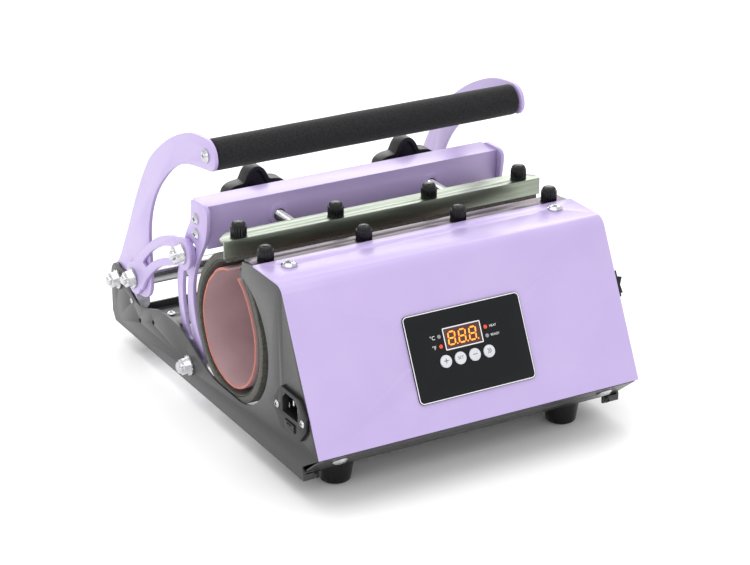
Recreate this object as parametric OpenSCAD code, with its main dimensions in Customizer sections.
// Mug heat press: a heated sleeve closed round a mug by a toggle handle.
// +X runs along the mug, +Y points to the back, +Z up; the origin is on the table, in the middle.

/* [Body] */
// Width over the two side plates
body_w = 283.2; // [236:0.1:340]
// Thickness of the side plates
plate_t = 2; // [1.5:0.1:2.4]
// Height of the plates' lower edge above the table
plate_z = 17.3; // [15:0.1:19]
// Thickness of the cover and pan sheet
sheet_t = 1.5; // [1:0.1:2]
// Height of the top of the cover
cover_top = 163; // [160:0.1:196]
// Height of the cover's front lower edge
cover_lip = 45.3; // [40:0.1:60]
// Slope of the cover's front face, from level
face_slope = 64.1; // [60:0.1:70]
// Outer radius of the cover's bend
bend_r = 12; // [6:0.5:15]

/* [Heater] */
// Radius of the mug that the heated sleeve closes round
mug_r = 41; // [36:0.5:49.5]
// Thickness of the silicone heating pad
silicone_t = 1.8; // [1.5:0.1:2.5]
// Thickness of the foam behind the pad
foam_t = 6.8; // [4:0.1:8]
// Thickness of the steel band round the foam
band_t = 0.6; // [0.4:0.1:0.8]
// Height of the mug's axis
mug_z = 94; // [92:0.5:98]

/* [Handle] */
// Outer radius of the foam grip
grip_r = 12.5; // [11:0.5:16]
// Outer radius of the tube inside the grip
grip_tube_r = 9.5; // [8:0.5:10]
// Thickness of arms, brackets and links
arm_t = 3; // [2.5:0.1:3.2]
// Radius of the pivot bolts' shanks
bolt_r = 4; // [3:0.1:4.5]
// Radius of the polished cross rod
cross_r = 8; // [7:0.5:9]

/* [Clamp] */
// Radius of the two tension rods
rod_r = 4; // [3:0.1:4.5]
// Radius over the star knobs' lobes
knob_r = 28; // [24:0.1:34]
// Radius of the thumb nuts
thumb_r = 6.4; // [5:0.1:6.8]
// Height of the thumb nuts
thumb_h = 12; // [10:0.5:15]
// Radius of the swing axle
axle_r = 5; // [4:0.1:6]

/* [Panel] */
// Width of the control panel
panel_w = 103; // [95:0.5:120]
// Height of the control panel along the slope
panel_h = 67.5; // [64:0.5:72]
// Radius of the round buttons
button_r = 4.85; // [4:0.05:5.4]

/* [Feet] */
// Radius of a foot at its top
foot_r = 15; // [12:0.5:16]
// Radius of a foot at the table
foot_base_r = 12; // [10:0.5:13]

/* [Hidden] */
$fn = 48;

// Clearances
run = 0.05;      // radial clearance of a running fit
side_gap = 0.3;  // between flat pieces of two bodies that pass each other
plane_gap = 0.5; // between the layers of the linkage

// Planes of the layers, as distances from the middle, outwards
plate_out = body_w / 2;
plate_in = plate_out - plate_t;
arm_out = plate_in - plane_gap;
arm_in = arm_out - arm_t;
bracket_out = arm_in - side_gap;
bracket_in = bracket_out - arm_t;
link_in = plate_in;
link_out = link_in + arm_t;

// Places in the side view, as [y, z]
front_y = -185.9;
rear_y = 185.9;
mug_axis = [-38, mug_z];
pivot_a = [rear_y - 14.1, 58.6];   // handle on the plates
pivot_b = pivot_a + [-35.2, 14];   // links on the handle
pivot_c = [33.5, 34.1];            // swing frame on the plates
pivot_d = pivot_c + [4.9, 95.1];   // links on the swing frame
grip_axis = pivot_a + [-175.8, 165.2];

// Cover
bend_y = front_y + (cover_top - cover_lip) / tan(face_slope);
bend_c = [bend_y + bend_r * tan(face_slope / 2), cover_top - bend_r];
cover_rear_y = mug_axis[0] - 46;
pan_z = plate_z + 3;       // underside of the pan and of the rear cross member
pan_front_y = front_y + 30.9;
pan_rear_y = mug_axis[0] - 70;
wall_top = cover_top - sheet_t;
side_x = plate_out - 23.6;          // screws of the cover and the pan
foot_at = [for (x = [-1, 1]) for (p = [[plate_out - 39.2, -137.5],
    [plate_out - 42.2, rear_y - 27]]) [x * p[0], p[1]]];

// Heater. Each half is a line of [angle, bulge], where the bulge is how far the open sleeve
// stands off the mug. Where it is below nothing, the mug presses its own round into the pad
heater_l = body_w - 3.2;
pad_d = silicone_t;                 // outer faces of the layers, measured from the pad's inner
foam_d = pad_d + foam_t;
band_d = foam_d + band_t;
front_half = [[109, 6], [120, 4.4], [131, 2.7], [142, 0.9], [151, -0.12], [171, -0.15],
    [191, -0.12], [205, 0.8], [222, 1.9], [240, 3], [258, 4], [275, 4.3], [292, 4.6], [306, 4.8], [319.7, 4.3]];
rear_half = [[320.3, 4.3], [338, 3], [354, 2.4], [371, 1.1], [382, -0.12], [397, -0.15],
    [412, -0.12], [427, 2.2], [440, 3.6], [450, 4.4]];
cut_r = mug_r + 13.5;               // round cut-out in the side plates
cut_c = mug_axis + [-14, -0.4];
cut_low = cut_c[1] - cut_r;

// Clamps
thumb_step = (body_w - 30) / 3;     // spacing of the thumb nuts
stud_r = 2.5;
strip_t = 1.5;
front_strip_z = wall_top - 1.7;
front_strip_y = [cover_rear_y, cover_rear_y + 18];
front_nut_y = cover_rear_y + 8.4;
bar_w = plate_in - 9.6;      // half the length of the bars under the strips
rear_strip_z = 163.9;
rear_strip_y = [-38, -20];
rear_nut_y = -30.8;
carrier_y = [-24.9, -18.9];
rod_x = 69.5;
rod_z = 157.5;

// Swing frame
channel_y = [12, 36];
channel_z = [140, 175.5];
channel_t = 2;
channel_w = 2 * bracket_in - 0.4;
knob_y = [42, 50, 63];     // boss, front and back of the star knob

// Handle stop, a round bumper that the arms' lower edges rest on
stop_r = 8.5;
stop_l = 12;
arm_low = 57.8;
stop_at = [pivot_b[0] + 7.9, arm_low - side_gap - stop_r];

// Control panel, measured up the front face from its lower edge
panel_t = 1.2;
panel_s = 54.9;
display_w = 31.6;
display_h = 15.4;
display_at = [-3.5, 65.4];
button_s = 49.2;
button_x = [-22.4, -9.7, 3, 15.7];
lamp_r = 1.6;
lamp_at = [[-24, 68.4], [-24, 60.9], [16.8, 67.8], [16.8, 61]];
board_d = 9;               // depth of the display board behind the face

// Inlet and switch, as [y, z]
inlet_at = [-145.4, 67.5];
inlet_w = 27;
inlet_h = 31;
inlet_depth = 26;
socket_w = 24;
socket_h = 16.4;
socket_up = 5.6;
drawer_w = 15;
drawer_h = 6.4;
drawer_down = 10.2;
switch_at = [-144.3, 110.4];
switch_turn = face_slope - 90;      // in line with the cover's front face
switch_w = 13;
switch_h = 19.2;

// Lilac sheet metal, black sheet metal and the other finishes
lilac = "#CDBEEA";
satin_black = "#4A4A4C";
plastic_black = "#1C1C1E";
foam_black = "#232325";
rubber_black = "#111113";
zinc = "#C9CACC";
stainless = "#B9BCB8";
pad_pink = "#A98A8E";
foam_grey = "#5F605C";

// Points of an arc round c, from one angle to another
function arc(c, r, from, to, n = 12) =
    [for (i = [0 : n]) let (a = from + (to - from) * i / n) c + r * [cos(a), sin(a)]];

// A smooth closed curve through points, n steps between each two
function between(p0, p1, p2, p3, t) =
    0.5 * (2 * p1 + (p2 - p0) * t + (2 * p0 - 5 * p1 + 4 * p2 - p3) * t * t
        + (3 * p1 - p0 - 3 * p2 + p3) * t * t * t);
function smooth(p, n = 4) = let (m = len(p))
    [for (i = [0 : m - 1]) for (k = [0 : n - 1])
        between(p[(i + m - 1) % m], p[i], p[(i + 1) % m], p[(i + 2) % m], k / n)];

// The same for an open curve
function smooth_open(p, n = 4) = let (m = len(p))
    concat([for (i = [0 : m - 2]) for (k = [0 : n - 1])
        between(p[max(i - 1, 0)], p[i], p[i + 1], p[min(i + 2, m - 1)], k / n)], [p[m - 1]]);

// A flat shape drawn as [y, z] and stretched along X
module prism(x0, x1) {
    translate([x0, 0, 0])
        rotate([90, 0, 90])
            linear_extrude(x1 - x0) children();
}

// A round bar along X at a [y, z] place
module bar(x0, x1, r, at) {
    translate([x0, at[0], at[1]])
        rotate([0, 90, 0])
            cylinder(h = x1 - x0, r = r);
}

// A round bar along Y
module bar_y(y0, y1, r, x, z) {
    translate([x, y1, z])
        rotate([90, 0, 0])
            cylinder(h = y1 - y0, r = r);
}

module disc(at, r) {
    translate(at) circle(r = r);
}

module both_sides() {
    children();
    mirror([1, 0, 0]) children();
}

// Local Z out of the cover's front face, x along it and s up it
module on_face(x, s, d = 0) {
    translate([x, front_y + s * cos(face_slope), cover_lip + s * sin(face_slope)])
        rotate([face_slope, 0, 0])
            translate([0, 0, d]) children();
}

// The line of the cover at a depth under its outer surface
function cover_line(d) = concat(
    [[front_y, cover_lip] + d * [sin(face_slope), -cos(face_slope)]],
    arc(bend_c, bend_r - d, 90 + face_slope, 90, 14),
    [[cover_rear_y, cover_top - d]]);
function turned(p) = [for (i = [len(p) - 1 : -1 : 0]) p[i]];

// Side plates

plate_rear = smooth_open([
    pivot_a + [-17, 12.4], pivot_a + [-24.4, 0.2], [pivot_a[0] - 33.9, 52.8],
    [pivot_a[0] - 46.8, 50.4], [107.8, 55.1], [91.8, 59.8], [72, 61.8], [49.8, 60.2],
    [31.8, 55], [13.8, cut_low + 8.1], [0, cut_low + 3.2], [-12, cut_low + 0.9],
    [-28, cut_low + 0.2]]);

module plate_shape() {
    polygon(concat(
        [[rear_y - 5, plate_z], [rear_y, plate_z + 8]],
        arc(pivot_a, rear_y - pivot_a[0], 0, 118),
        plate_rear,
        arc(cut_c, cut_r, -95, -257, 36),
        [[front_strip_y[1], wall_top - 2]],
        turned(cover_line(sheet_t)),
        [[pan_front_y - 3.2, plate_z + 11.3], [pan_front_y - 5.2, plate_z + 5.2],
            [pan_front_y - 5.2, plate_z]]));
}

module side_plate() {
    difference() {
        union() {
            prism(-plate_out, -plate_in) plate_shape();
            // flange under the front clamp
            translate([-plate_in - 0.01, front_strip_y[0], front_strip_z - strip_t])
                cube([22, front_strip_y[1] - front_strip_y[0] - 2, strip_t]);
            // tab at the front lower corner, in front of the pan, with its screw
            translate([-plate_in - 0.01, pan_front_y - 5.2, plate_z])
                cube([13, plate_t, 5.2]);
            translate([-plate_in + 9.1, pan_front_y - 5.19, plate_z + 2.6])
                rotate([90, 0, 0]) pan_screw(2.5, 1.8, 1, 1.5);
        }
        for (k = [-1.5, 1.5])
            translate([k * thumb_step, front_nut_y, front_strip_z - 5])
                cylinder(h = 10, r = stud_r + run);
        bar(-plate_out - 1, -plate_in + 1, bolt_r + run, pivot_a);
        bar(-plate_out - 1, -plate_in + 1, axle_r + run, pivot_c);
        bar(-plate_out - 1, -plate_in + 1, 1.6, stop_at);
        bar(-plate_out - 1, -plate_in + 1, 2.2, [128.9, 36.7]);
        bar(-plate_out - 1, -plate_in + 1, 2.2, [101.9, 45.1]);
    }
}

module side_plate_left() {
    color(satin_black)
        difference() {
            side_plate();
            prism(-plate_out - 1, -plate_in + 1)
                translate(inlet_at) square([inlet_w, inlet_h], center = true);
            for (s = [-1, 1])
                bar(-plate_out - 1, -plate_in + 1, 1.6, inlet_at + [s * 20, 0]);
        }
}

module side_plate_right() {
    color(satin_black)
        difference() {
            mirror([1, 0, 0]) side_plate();
            prism(plate_in - 1, plate_out + 1)
                translate(switch_at) rotate(switch_turn)
                    square([switch_w, switch_h], center = true);
        }
}

// Cover, pan and walls

module cover() {
    color(lilac)
        difference() {
            prism(-plate_out, plate_out)
                polygon(concat(cover_line(0), turned(cover_line(sheet_t))));
            on_face(display_at[0], display_at[1], -5)
                linear_extrude(10) square([display_w + 1, display_h + 1], center = true);
            for (x = button_x)
                on_face(x, button_s, -5) cylinder(h = 10, r = button_r + 1);
            for (p = lamp_at)
                on_face(p[0], p[1], -5) cylinder(h = 10, r = lamp_r);
            both_sides()
                translate([-side_x, cover_rear_y - 13.2, cover_top - 5]) cylinder(h = 10, r = 2.5);
        }
}

pan_lip = [front_y + 1.6, cover_lip - 1.5];
pan_slope = atan2(pan_lip[1] - pan_z, pan_front_y - pan_lip[0]);
pan_screw = pan_lip + 14 * [cos(pan_slope), -sin(pan_slope)];

module front_pan() {
    w = plate_in - 0.1;
    color(satin_black)
        difference() {
            prism(-w, w)
                polygon([pan_lip, [pan_front_y, pan_z], [pan_rear_y, pan_z],
                    [pan_rear_y, pan_z + sheet_t], [pan_front_y + 0.5, pan_z + sheet_t],
                    pan_lip + [1.1, 0.9]]);
            both_sides() {
                translate([foot_at[0][0], foot_at[0][1], pan_z - 5]) cylinder(h = 10, r = 2.5);
                translate([-side_x, pan_screw[0], pan_screw[1]])
                    rotate([-pan_slope, 0, 0])
                        translate([0, 0, -5]) cylinder(h = 10, r = 2.5);
            }
        }
}

// Underside of the cover at a place y, on its slope, its bend or its flat top
function under_cover(y) = let (r = bend_r - sheet_t, off = bend_c[0] - y)
    off <= 0 ? wall_top
    : off <= r * sin(face_slope) ? bend_c[1] + sqrt(r * r - off * off)
    : cover_lip + (y - front_y) * tan(face_slope) - sheet_t / cos(face_slope);

module inner_wall() {
    w = plate_in - 0.1;
    y = pan_rear_y - sheet_t;
    color("#8C8E90")
        difference() {
            translate([-w, y, pan_z + sheet_t])
                cube([2 * w, sheet_t, under_cover(y) - pan_z - sheet_t]);
            bar_y(pan_rear_y - 5, pan_rear_y + 5, 3.2, -60, 40);
        }
}

module rear_cross_member() {
    w = plate_in - 0.1;
    back = rear_y - 8;
    color(satin_black)
        difference() {
            union() {
                translate([-w, back - 42, pan_z]) cube([2 * w, 42, 2]);
                translate([-w, back - 2, pan_z + 1.99]) cube([2 * w, 2, 6.3]);
                both_sides()
                    translate([-w, back - 40, pan_z + 1.99]) cube([2, 34, 6]);
            }
            both_sides()
                translate([foot_at[1][0], foot_at[1][1], pan_z - 5]) cylinder(h = 10, r = 2.5);
        }
}

module feet() {
    color(rubber_black)
        for (p = foot_at)
            translate([p[0], p[1], 0])
                difference() {
                    union() {
                        cylinder(h = 1.5, r1 = foot_base_r - 1.2, r2 = foot_base_r);
                        translate([0, 0, 1.5])
                            cylinder(h = pan_z - 1.5, r1 = foot_base_r, r2 = foot_r);
                    }
                    translate([0, 0, 6]) cylinder(h = pan_z, r = 2.5);
                    translate([0, 0, -1]) cylinder(h = 7.5, r = 5.5);
                }
}

// A pan-head screw: head out along +Z from the surface, shank below it
module pan_screw(head_r = 6.2, head_h = 2.6, shank_r = 2.5, shank_l = 8) {
    difference() {
        union() {
            cylinder(h = head_h * 0.4, r = head_r);
            translate([0, 0, head_h * 0.4])
                cylinder(h = head_h * 0.6, r1 = head_r, r2 = head_r * 0.62);
            translate([0, 0, -shank_l]) cylinder(h = shank_l + 0.01, r = shank_r);
        }
        for (a = [0, 90])
            rotate([0, 0, a])
                translate([-head_r * 0.5, -0.6, head_h - 1.2])
                    cube([head_r, 1.2, 3]);
    }
}

module case_screws() {
    color(zinc) {
        both_sides() {
            translate([-side_x, cover_rear_y - 13.2, cover_top]) pan_screw();
            translate([-side_x, pan_screw[0], pan_screw[1]])
                rotate([180 - pan_slope, 0, 0]) pan_screw();
            translate([-plate_out, stop_at[0], stop_at[1]])
                rotate([0, -90, 0]) pan_screw(2.4, 1, 1.6, plate_t + stop_l - 4);
        }
        for (p = foot_at)
            translate([p[0], p[1], pan_z + (p[1] > 0 ? 2 : sheet_t)])
                pan_screw(4, 1.8, 2.5, 14);
    }
}

// Control panel

module rounded(w, h, r) {
    square([w - 2 * r, h], center = true);
    square([w, h - 2 * r], center = true);
    for (x = [-1, 1])
        for (y = [-1, 1])
            translate([x * (w / 2 - r), y * (h / 2 - r)]) circle(r = r);
}

module control_panel() {
    color("#2B2B2E")
        difference() {
            on_face(0, panel_s, 0) linear_extrude(panel_t) rounded(panel_w, panel_h, 4);
            on_face(display_at[0], display_at[1], -1)
                linear_extrude(5) square([display_w, display_h], center = true);
            for (x = button_x)
                on_face(x, button_s, -1) cylinder(h = 5, r = button_r + run + 0.03);
            for (p = lamp_at)
                on_face(p[0], p[1], -1) cylinder(h = 5, r = lamp_r);
        }
}

module display_window() {
    color("#3A1410")
        on_face(display_at[0], display_at[1], 0)
            linear_extrude(panel_t) square([display_w, display_h], center = true);
}

module display_board() {
    color("#1F6B3A") {
        on_face(0, panel_s, -board_d - 1.6) linear_extrude(1.6) rounded(92, 60, 2);
        // digit block, indicator lamps and key switches
        on_face(display_at[0], display_at[1], -board_d)
            linear_extrude(board_d - 0.1) square([display_w - 1, display_h - 1], center = true);
        for (p = lamp_at)
            on_face(p[0], p[1], -board_d) cylinder(h = board_d + panel_t + 0.4, r = lamp_r);
        for (x = button_x)
            on_face(x, button_s, -board_d) cylinder(h = 3.4, r = 3);
        // spacers to the cover
        for (x = [-42, 42])
            for (s = [-25, 25])
                on_face(x, panel_s + s, -board_d)
                    cylinder(h = board_d - sheet_t, r = 2.5);
    }
}

module button(x) {
    color("#D5D6DA") {
        on_face(x, button_s, -1.4) cylinder(h = 1.4 + panel_t + 1.0, r = button_r);
        on_face(x, button_s, -board_d + 4.5) cylinder(h = board_d - 5.8, r = 2.4);
    }
}

module button_plus() button(button_x[0]);
module button_set() button(button_x[1]);
module button_minus() button(button_x[2]);
module button_timer() button(button_x[3]);

module power_board() {
    color("#1F6B3A") {
        translate([-88, -150, pan_z + 8]) cube([176, 38, 1.6]);
        for (x = [-83, 83])
            for (y = [-146, -116])
                translate([x, y, pan_z + sheet_t]) cylinder(h = 6.5, r = 2.5);
    }
}

module board_components() {
    z = pan_z + 9.6;
    // transformer
    color("#C9A23A") translate([20, -142, z]) cube([34, 26, 24]);
    // relay
    color("#2A57B8") translate([-18, -140, z]) cube([19, 15.5, 15.5]);
    // terminal block
    color("#2E7D4F") translate([-80, -136, z]) cube([12, 22, 10]);
    // capacitors
    color("#26262A")
        for (x = [62, 74]) translate([x, -130, z]) cylinder(h = 14, r = 5);
}

// Inlet with fuse drawer, on the left plate

module inlet_flange() {
    h = inlet_h / 2 + 1.5;
    polygon([[-14.5, h], [14.5, h], [25, 5], [25, -5], [14.5, -h], [-14.5, -h],
        [-25, -5], [-25, 5]]);
}

module inlet_housing() {
    floor_x = -plate_out + 15;
    color(plastic_black)
        difference() {
            union() {
                prism(-plate_out - 2.6, -plate_out) translate(inlet_at) inlet_flange();
                prism(-plate_out, -plate_out + inlet_depth)
                    translate(inlet_at) square([inlet_w - 0.4, inlet_h - 0.4], center = true);
            }
            prism(-plate_out - 5, floor_x)
                translate(inlet_at + [0, socket_up])
                    polygon([[-socket_w / 2, -socket_h / 2], [socket_w / 2, -socket_h / 2],
                        [socket_w / 2, socket_h / 2 - 5], [socket_w / 2 - 5, socket_h / 2],
                        [5 - socket_w / 2, socket_h / 2], [-socket_w / 2, socket_h / 2 - 5]]);
            prism(-plate_out - 5, -plate_out + inlet_depth - 2)
                translate(inlet_at - [0, drawer_down])
                    square([drawer_w + 0.4, drawer_h + 0.4], center = true);
            for (s = [-1, 1])
                bar(-plate_out - 5, -plate_out + 1, 1.6, inlet_at + [s * 20, 0]);
            // holes for the three pins
            for (p = [[0, 2], [-7, -2], [7, -2]])
                prism(floor_x - 1, -plate_out + inlet_depth + 1)
                    translate(inlet_at + [0, socket_up] + p) square([2, 4], center = true);
        }
}

module inlet_pins() {
    color(zinc)
        for (p = [[0, 2], [-7, -2], [7, -2]])
            prism(-plate_out + 0.5, -plate_out + inlet_depth + 8)
                translate(inlet_at + [0, socket_up] + p) square([2, 4], center = true);
}

module inlet_screws() {
    color(zinc)
        for (s = [-1, 1])
            translate([-plate_out - 2.6, inlet_at[0] + s * 20, inlet_at[1]])
                rotate([0, -90, 0]) pan_screw(3, 1.6, 1.6, 9);
}

module fuse_drawer() {
    color(plastic_black)
        difference() {
            prism(-plate_out - 3.6, -plate_out + inlet_depth - 2.5)
                translate(inlet_at - [0, drawer_down])
                    square([drawer_w, drawer_h], center = true);
            // tray that holds the fuse, and the finger groove
            translate([-plate_out + 1, inlet_at[0] - drawer_w / 2 + 1.2,
                    inlet_at[1] - drawer_down - 1.6])
                cube([20.6, drawer_w - 2.4, drawer_h]);
            translate([-plate_out - 4, inlet_at[0] - 4, inlet_at[1] - drawer_down + 1.2])
                cube([2, 8, 1.2]);
        }
}

module fuse() {
    color("#E8E8E0")
        bar(-plate_out + 1.2, -plate_out + 21.2, 1.5,
            inlet_at - [0, drawer_down]);
}

// Rocker switch on the right plate

rocker_w = switch_w - 3;
rocker_h = switch_h - 3.6;
rocker_tilt = 10;
rocker_pin = 1.4;
rocker_axis_x = plate_out - 3;

// Local X out of the right plate, local Z up the switch
module at_switch(x) {
    translate([x, switch_at[0], switch_at[1]]) rotate([switch_turn, 0, 0]) children();
}

module switch_housing() {
    color(plastic_black)
        difference() {
            union() {
                at_switch(plate_out) prism(0, 2.5) rounded(switch_w + 2, switch_h + 2, 1.5);
                at_switch(plate_out)
                    prism(-16, 0) square([switch_w - 0.2, switch_h - 0.2], center = true);
                for (z = [-6, 0, 6])
                    at_switch(plate_out)
                        prism(-24, -15.9) translate([0, z]) square([4.8, 0.8], center = true);
            }
            at_switch(plate_out)
                prism(-11, 5) square([rocker_w + 0.3, rocker_h + 0.6], center = true);
            at_switch(rocker_axis_x)
                bar_y(-rocker_w / 2 - 1.05, rocker_w / 2 + 1.05, rocker_pin + run, 0, 0);
        }
}

module rocker() {
    r = rocker_h / 2;
    color("#26262A")
        at_switch(rocker_axis_x) {
            rotate([0, rocker_tilt, 0])
                translate([0, -rocker_w / 2, 0])
                    rotate([-90, 0, 0])
                        linear_extrude(rocker_w)
                            polygon([[-2, -3], [-2, 3], [2, r - 0.6], [10.2, r - 1.5], [8.2, 0],
                                [10.2, 1.5 - r], [2, 0.6 - r]]);
            bar_y(-rocker_w / 2 - 0.95, rocker_w / 2 + 0.95, rocker_pin, 0, 0);
        }
}

// Heater halves

// One layer of a half, between two distances from the pad's inner face
function sleeve_line(half, d) = smooth_open(
    [for (p = half) mug_axis + (mug_r + p[1] + d) * [cos(p[0]), sin(p[0])]], 3);
module sleeve(half, d0, d1) {
    prism(-heater_l / 2, heater_l / 2)
        polygon(concat(sleeve_line(half, d0), turned(sleeve_line(half, d1))));
}

// The pad, with the mug's round pressed into it
module pad(half) {
    color(pad_pink)
        difference() {
            sleeve(half, 0, pad_d);
            bar(-heater_l / 2 - 1, heater_l / 2 + 1, mug_r, mug_axis);
        }
}

module heater_front_silicone() {
    pad(front_half);
}

module heater_front_foam() {
    color(foam_grey) sleeve(front_half, pad_d, foam_d);
}

module heater_rear_silicone() {
    pad(rear_half);
}

module heater_rear_foam() {
    color(foam_grey) sleeve(rear_half, pad_d, foam_d);
}

front_bar_z = [front_strip_z - strip_t - 6.4, front_strip_z - strip_t - 3.4];
rear_bar_z = [rear_strip_z - 6, rear_strip_z - 3];

// Height where the band passes a place y, on the side where its bulge is known
function band_up(y, bulge) = mug_axis[1]
    + sqrt(pow(mug_r + bulge + foam_d + band_t / 2, 2) - pow(y - mug_axis[0], 2));

module heater_front_band() {
    tab_y = front_strip_y[1] + 1.5;
    up = band_up(tab_y, 4.6);
    color("#2E2E30")
        difference() {
            union() {
                sleeve(front_half, foam_d, band_d);
                // tab held by the front clamp
                translate([-bar_w, tab_y - band_t, up])
                    cube([2 * bar_w, band_t, front_bar_z[1] + band_t - up]);
                translate([-bar_w, front_nut_y - 5.5, front_bar_z[1]])
                    cube([2 * bar_w, tab_y - front_nut_y + 5.5, band_t]);
            }
            for (k = [0 : 3])
                translate([(k - 1.5) * thumb_step, front_nut_y, 140])
                    cylinder(h = 80, r = stud_r);
        }
}

module heater_rear_band() {
    tab_y = rear_strip_y[0] + 2;
    up = band_up(tab_y, 4.3);
    color("#2E2E30")
        difference() {
            union() {
                sleeve(rear_half, foam_d, band_d);
                translate([-bar_w, tab_y, up])
                    cube([2 * bar_w, band_t, rear_bar_z[1] + band_t - up]);
                translate([-bar_w, tab_y, rear_bar_z[1]]) cube([2 * bar_w, 11, band_t]);
            }
            for (k = [0 : 3])
                translate([(k - 1.5) * thumb_step, rear_nut_y, 140])
                    cylinder(h = 80, r = stud_r);
        }
}

// Clamps

module front_clamp() {
    w = plate_in - 0.2;
    depth = front_strip_y[1] - front_strip_y[0];
    color(stainless)
        difference() {
            union() {
                translate([-w, front_strip_y[0], front_strip_z])
                    cube([2 * w, depth, strip_t]);
                translate([-bar_w, front_nut_y - 6, front_bar_z[0]])
                    cube([2 * bar_w, 12, 3]);
            }
            for (k = [0 : 3])
                translate([(k - 1.5) * thumb_step, front_nut_y, 140])
                    cylinder(h = 80, r = stud_r);
        }
}

module rear_clamp() {
    w = plate_out + 1;
    depth = rear_strip_y[1] - rear_strip_y[0];
    color(stainless)
        difference() {
            union() {
                difference() {
                    translate([-w, rear_strip_y[0], rear_strip_z]) cube([2 * w, depth, strip_t]);
                    both_sides()
                        translate([-w, rear_strip_y[1], rear_strip_z - 1])
                            rotate([0, 0, 45]) cube([14, 14, 8], center = true);
                }
                translate([-w, rear_strip_y[0], rear_strip_z - 12.3])
                    cube([2 * w, strip_t, 12.31]);
                translate([-bar_w, rear_nut_y - 4.2, rear_bar_z[0]])
                    cube([2 * bar_w, 10, 3]);
            }
            for (k = [0 : 3])
                translate([(k - 1.5) * thumb_step, rear_nut_y, 140])
                    cylinder(h = 40, r = stud_r);
        }
}

// A ribbed nut with a domed top, standing on z = 0
module thumb_nut() {
    ribs = 20;
    difference() {
        union() {
            linear_extrude(thumb_h - 2.4)
                polygon([for (i = [0 : 2 * ribs - 1])
                    (thumb_r - 0.55 * (i % 2)) * [cos(180 * i / ribs), sin(180 * i / ribs)]]);
            translate([0, 0, thumb_h - 2.41])
                cylinder(h = 1.2, r1 = thumb_r - 0.3, r2 = thumb_r - 0.9);
            translate([0, 0, thumb_h - 1.22])
                cylinder(h = 1.22, r1 = thumb_r - 0.9, r2 = thumb_r - 3.2);
        }
        translate([0, 0, -1]) cylinder(h = thumb_h - 3, r = stud_r);
    }
}

module thumb_row(y, z) {
    for (k = [0 : 3])
        translate([(k - 1.5) * thumb_step, y, z]) thumb_nut();
}

module stud_row(y, z0, z1) {
    for (k = [0 : 3])
        translate([(k - 1.5) * thumb_step, y, z0]) {
            cylinder(h = z1 - z0, r = stud_r);
            translate([0, 0, -2.5]) cylinder(h = 2.5, r = stud_r + 1.5);
        }
}

module front_thumb_nuts() {
    color(plastic_black) thumb_row(front_nut_y, front_strip_z + strip_t);
}

module rear_thumb_nuts() {
    color(plastic_black) thumb_row(rear_nut_y, rear_strip_z + strip_t);
}

module front_studs() {
    color(zinc) stud_row(front_nut_y, front_bar_z[0], front_strip_z + strip_t + thumb_h - 5);
}

module rear_studs() {
    color(zinc) stud_row(rear_nut_y, rear_bar_z[0], rear_strip_z + strip_t + thumb_h - 5);
}

module clamp_carrier() {
    color(stainless)
        difference() {
            both_sides()
                translate([-rod_x - 12, carrier_y[0], rod_z - 6.5])
                    cube([24, carrier_y[1] - carrier_y[0], rear_strip_z - rod_z + 6.5]);
            for (x = [-rod_x, rod_x])
                bar_y(carrier_y[0] - 1, carrier_y[1] + 1, rod_r + run, x, rod_z);
        }
}

module tension_rod(x) {
    color(zinc)
        bar_y(carrier_y[0] + 0.5, knob_y[2] - 4, rod_r, x, rod_z);
}

module tension_rod_left() tension_rod(-rod_x);
module tension_rod_right() tension_rod(rod_x);

module tension_knob(x) {
    lobes = 5;
    lobe_r = 9;
    color(plastic_black)
        difference() {
            union() {
                bar_y(knob_y[1], knob_y[2], knob_r - 10, x, rod_z);
                for (i = [0 : lobes - 1])
                    let (a = 90 + 360 * i / lobes, d = knob_r - lobe_r)
                        bar_y(knob_y[1], knob_y[2], lobe_r, x + d * cos(a), rod_z + d * sin(a));
                bar_y(knob_y[0], knob_y[1] + 0.01, 9, x, rod_z);
            }
            bar_y(knob_y[0] - 1, knob_y[2] - 4, rod_r, x, rod_z);
        }
}

module tension_knob_left() tension_knob(-rod_x);
module tension_knob_right() tension_knob(rod_x);

// Swing frame

bracket_outline = [pivot_c + [0, -14], pivot_c + [13, -8], pivot_c + [19, 6], [58, 59],
    [62.8, 79.8], [63.8, 98], [58.8, 113], [50.5, 132], [43.5, 146], [36, 157], [34.4, 168.8],
    [32.5, 175.5], [21, 177.5], [10.4, 176.8], [5.4, 172.7], [6.3, 159.8], [10.5, 146.5],
    [18.5, 134.5], [26, 123.5], [31.6, 112], [34.6, 99], [33.8, 83], [28.8, 67.1],
    [21.4, 54], pivot_c + [-14.2, 6], pivot_c + [-11, -9]];
bracket_slot = smooth_open([[47.6, 106], [49.6, 94], [49.4, 82], [46.6, 69], [41.8, 57]], 5);
slot_w = 9;
d_slack = [-6.6, 5.8];    // how far the open pivot's bolt wanders in the bracket
bracket_screws = [[25, 161.9], [25, 149.2]];

// A row of touching discs, which cuts a slot along a curve
module slot_along(points, w) {
    n = len(points);
    for (p = [points[0], points[n - 1]])
        disc(p, w / 2);
    for (i = [0 : n - 2])
        let (a = points[i], b = points[i + 1], d = b - a)
            translate((a + b) / 2)
                rotate(atan2(d[1], d[0]))
                    square([norm(d) + 0.6, w], center = true);
}

module swing_bracket() {
    color(lilac)
        prism(-bracket_out, -bracket_in)
            difference() {
                polygon(smooth(bracket_outline));
                slot_along(bracket_slot, slot_w);
                slot_along([pivot_d, pivot_d + d_slack], 2 * bolt_r + 1.4);
                disc(pivot_c, axle_r + run);
                for (p = bracket_screws)
                    disc(p, 2.5);
            }
}

module swing_bracket_left() swing_bracket();
module swing_bracket_right() mirror([1, 0, 0]) swing_bracket();

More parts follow.
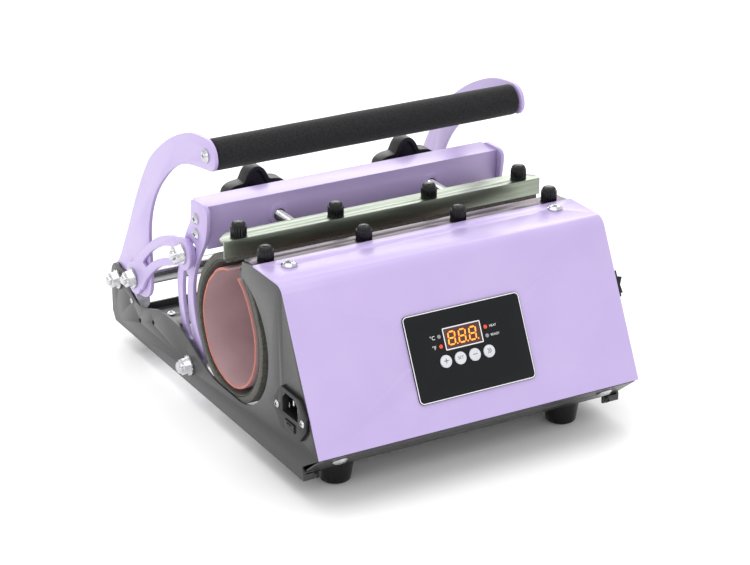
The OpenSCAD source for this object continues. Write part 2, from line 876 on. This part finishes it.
module channel() {
    h = channel_z[1] - channel_z[0];
    d = channel_y[1] - channel_y[0];
    color(lilac)
        difference() {
            union() {
                translate([-channel_w / 2, channel_y[0], channel_z[0]])
                    difference() {
                        cube([channel_w, d, h]);
                        translate([-1, channel_t, channel_t])
                            cube([channel_w + 2, d, h - 2 * channel_t]);
                    }
                // ends that the brackets are screwed to
                both_sides()
                    translate([-channel_w / 2, channel_y[0] + 1, channel_z[0] + 1])
                        cube([2.5, d - 1, h - 2]);
                for (x = [-rod_x, rod_x])
                    bar_y(channel_y[0] - 1, channel_y[0] + 1, 9, x, rod_z);
            }
            for (x = [-rod_x, rod_x])
                bar_y(channel_y[0] - 3, channel_y[0] + 5, rod_r + 1, x, rod_z);
            both_sides()
                for (p = bracket_screws)
                    bar(-channel_w / 2 - 1, -channel_w / 2 + 4, 2.5, p);
        }
}

module channel_hardware() {
    color(zinc) {
        // threaded inserts that the tension rods run in
        for (x = [-rod_x, rod_x])
            difference() {
                bar_y(channel_y[0] + channel_t, channel_y[0] + 12, 7.5, x, rod_z);
                bar_y(channel_y[0], channel_y[0] + 13, rod_r + run, x, rod_z);
            }
        both_sides()
            for (p = bracket_screws)
                translate([-bracket_out, p[0], p[1]])
                    rotate([0, -90, 0]) pan_screw(4.4, 2.2, 2.5, 10);
    }
}

// Handle

arm_outline = [pivot_a + [13.6, -2], pivot_a + [10, 9.6], [172.1, 78.2], [159.6, 98.8],
    [149.7, 115.7], [134.9, 142.7], [122, 163.5], [105.3, 186], [88.7, 200.5], [68.8, 214.1],
    [47.7, 225.1], [25.5, 233.5], [4.2, 237], [-8, 236.6], [-16.4, 231.5], [-19, 222],
    [-14.5, 214.5], [-6.2, 212.3], [11.5, 209.7], [29.5, 206.1], [46.2, 200.4], [59.5, 193],
    [73.5, 182], [87.9, 168], [98.9, 153], [106, 137.5], [109.5, 121], [109.5, 104],
    [108.5, 86], [110.5, 69.5], [120, 60.5], [136, arm_low], [148, arm_low - 1],
    pivot_a + [-14, -8], pivot_a + [-7, -12.4], pivot_a + [5, -13]];

module handle_arm() {
    color(lilac)
        prism(-arm_out, -arm_in)
            difference() {
                polygon(smooth(arm_outline));
                disc(pivot_a, bolt_r + run);
                disc(pivot_b, bolt_r + run);
                disc(grip_axis, 3);
                // nothing of the arm reaches below the level that rests on the bumper
                translate([stop_at[0] - 12, arm_low - 20]) square([22, 20]);
            }
}

module handle_arm_left() handle_arm();
module handle_arm_right() mirror([1, 0, 0]) handle_arm();

// A nut on a toothed lock washer, standing on z = 0 and growing along +Z
module lock_nut(bore_r, h = 8) {
    teeth = 16;
    difference() {
        union() {
            linear_extrude(1.3)
                polygon([for (i = [0 : 2 * teeth - 1])
                    (8.9 - 1.6 * (i % 2)) * [cos(180 * i / teeth), sin(180 * i / teeth)]]);
            translate([0, 0, 1.29]) cylinder(h = h - 2.28, r = 7.3, $fn = 6);
            translate([0, 0, h - 1]) cylinder(h = 1, r1 = 6.5, r2 = 5.6);
        }
        translate([0, 0, -1]) cylinder(h = h + 2, r = bore_r);
    }
}

// The rounded end of a bolt or rod of radius r, from z = 0 to h
module bolt_end(r, h) {
    cylinder(h = h - 1, r = r);
    translate([0, 0, h - 1.01]) cylinder(h = 1.01, r1 = r, r2 = r - 1);
}

nut_h = 8;
end_l = 2.6;               // how far a bolt's end stands out of its nut

module cross_rod() {
    color(stainless) {
        bar(-arm_in, arm_in, cross_r, pivot_b);
        both_sides() {
            bar(-link_out - side_gap - nut_h, -arm_in + 1, bolt_r, pivot_b);
            translate([-link_out - side_gap - nut_h + 0.01, pivot_b[0], pivot_b[1]])
                rotate([0, -90, 0]) bolt_end(bolt_r, end_l);
        }
    }
}

module cross_rod_nuts() {
    color(zinc)
        both_sides()
            translate([-link_out - side_gap, pivot_b[0], pivot_b[1]])
                rotate([0, -90, 0]) lock_nut(bolt_r, nut_h);
}

module grip_tube() {
    color(stainless)
        difference() {
            bar(-arm_in, arm_in, grip_tube_r, grip_axis);
            bar(-arm_in + 5, arm_in - 5, grip_tube_r - 1.5, grip_axis);
            both_sides() bar(-arm_in - 1, -arm_in + 6, 3, grip_axis);
        }
}

module grip_foam() {
    color(foam_black)
        difference() {
            bar(-arm_in + 0.5, arm_in - 0.5, grip_r, grip_axis);
            bar(-arm_in - 1, arm_in + 1, grip_tube_r, grip_axis);
        }
}

module grip_screws() {
    color(zinc)
        both_sides()
            translate([-arm_out, grip_axis[0], grip_axis[1]])
                rotate([0, -90, 0]) pan_screw(5.4, 3, 3, 12);
}

module pivot_bolts() {
    color(zinc)
        both_sides() {
            bar(-plate_out - nut_h, -arm_in + side_gap + 0.01, bolt_r, pivot_a);
            translate([-plate_out - nut_h + 0.01, pivot_a[0], pivot_a[1]])
                rotate([0, -90, 0]) bolt_end(bolt_r, end_l);
            bar(-arm_in + side_gap, -arm_in + side_gap + 3.2, 6.5, pivot_a);
        }
}

module swing_axle() {
    color(stainless) {
        bar(-plate_out - nut_h, plate_out + nut_h, axle_r, pivot_c);
        both_sides()
            translate([-plate_out - nut_h + 0.01, pivot_c[0], pivot_c[1]])
                rotate([0, -90, 0]) bolt_end(axle_r, end_l);
    }
}

module pivot_nuts() {
    color(zinc)
        both_sides() {
            translate([-plate_out, pivot_a[0], pivot_a[1]])
                rotate([0, -90, 0]) lock_nut(bolt_r, nut_h);
            translate([-plate_out, pivot_c[0], pivot_c[1]])
                rotate([0, -90, 0]) lock_nut(axle_r, nut_h);
        }
}

module handle_stops() {
    color("#C8C9CB")
        both_sides()
            difference() {
                union() {
                    bar(-plate_in, -plate_in + stop_l - 2, stop_r, stop_at);
                    translate([-plate_in + stop_l - 2.01, stop_at[0], stop_at[1]])
                        rotate([0, 90, 0]) cylinder(h = 2, r1 = stop_r, r2 = stop_r - 2);
                }
                bar(-plate_in - 1, -plate_in + stop_l - 4, 1.6, stop_at);
            }
}

// Links

link_upper = smooth_open([[52, 138.6], [67.4, 134.6], [83.2, 128], [97.3, 119.5],
    [112, 108.5], [126.5, 96]]);
link_lower = smooth_open([[120.5, 67], [112, 79], [100.1, 90], [86, 99.8], [72, 106.6],
    [58, 112], [47, 116.4]]);

module link() {
    lobe_d = 13.6;
    lobe_b = 14;
    boss_r = 11.6;              // clears the bracket's screws as the link turns
    color(lilac) {
        // boss that carries the open pivot's bolt up to the bracket
        difference() {
            bar(-link_in - 0.01, -bracket_out - side_gap, boss_r, pivot_d);
            bar(-link_in - 1, -bracket_in, bolt_r, pivot_d);
        }
        prism(-link_out, -link_in)
            difference() {
                union() {
                    polygon(concat(link_upper, [pivot_b + [2, 13.8], pivot_b, link_lower[0]],
                        link_lower, [pivot_d]));
                    disc(pivot_d, lobe_d);
                    disc(pivot_b, lobe_b);
                    disc([54, 128.6], 10.2);
                }
                disc(pivot_b, bolt_r + run);
                disc(pivot_d, bolt_r);
                // arched window
                polygon(concat(
                    smooth_open([[60, 127.6], [73, 123.6], [87, 116.8], [99, 109.4],
                        [111, 99.8], [116.5, 94]]),
                    smooth_open([[110.5, 91.5], [98.5, 100.4], [84.5, 108.4], [70, 114.4],
                        [60.5, 118.2]])));
            }
    }
}

module link_left() link();
module link_right() mirror([1, 0, 0]) link();

module link_bolts() {
    color(zinc)
        both_sides() {
            bar(-link_out - 0.01, -bracket_in + side_gap + 1.4, bolt_r, pivot_d);
            bar(-bracket_in + side_gap, -bracket_in + side_gap + 1.5, 5, pivot_d);
            translate([-link_out, pivot_d[0], pivot_d[1]])
                rotate([0, -90, 0]) {
                    lock_nut(1, nut_h);
                    bolt_end(bolt_r, nut_h + end_l);
                }
        }
}

side_plate_left();
side_plate_right();
cover();
front_pan();
inner_wall();
rear_cross_member();
feet();
case_screws();
control_panel();
display_window();
display_board();
power_board();
board_components();
inlet_housing();
inlet_pins();
inlet_screws();
fuse();
fuse_drawer();
switch_housing();
rocker();
front_clamp();
front_thumb_nuts();
front_studs();
heater_front_silicone();
heater_front_foam();
heater_front_band();
swing_axle();
pivot_bolts();
pivot_nuts();
handle_stops();
handle_arm_left();
handle_arm_right();
cross_rod();
cross_rod_nuts();
grip_tube();
grip_foam();
grip_screws();
link_left();
link_right();
link_bolts();
swing_bracket_left();
swing_bracket_right();
channel();
channel_hardware();
rear_clamp();
rear_thumb_nuts();
rear_studs();
clamp_carrier();
heater_rear_silicone();
heater_rear_foam();
heater_rear_band();
tension_knob_left();
tension_knob_right();
tension_rod_left();
tension_rod_right();
button_plus();
button_set();
button_minus();
button_timer();
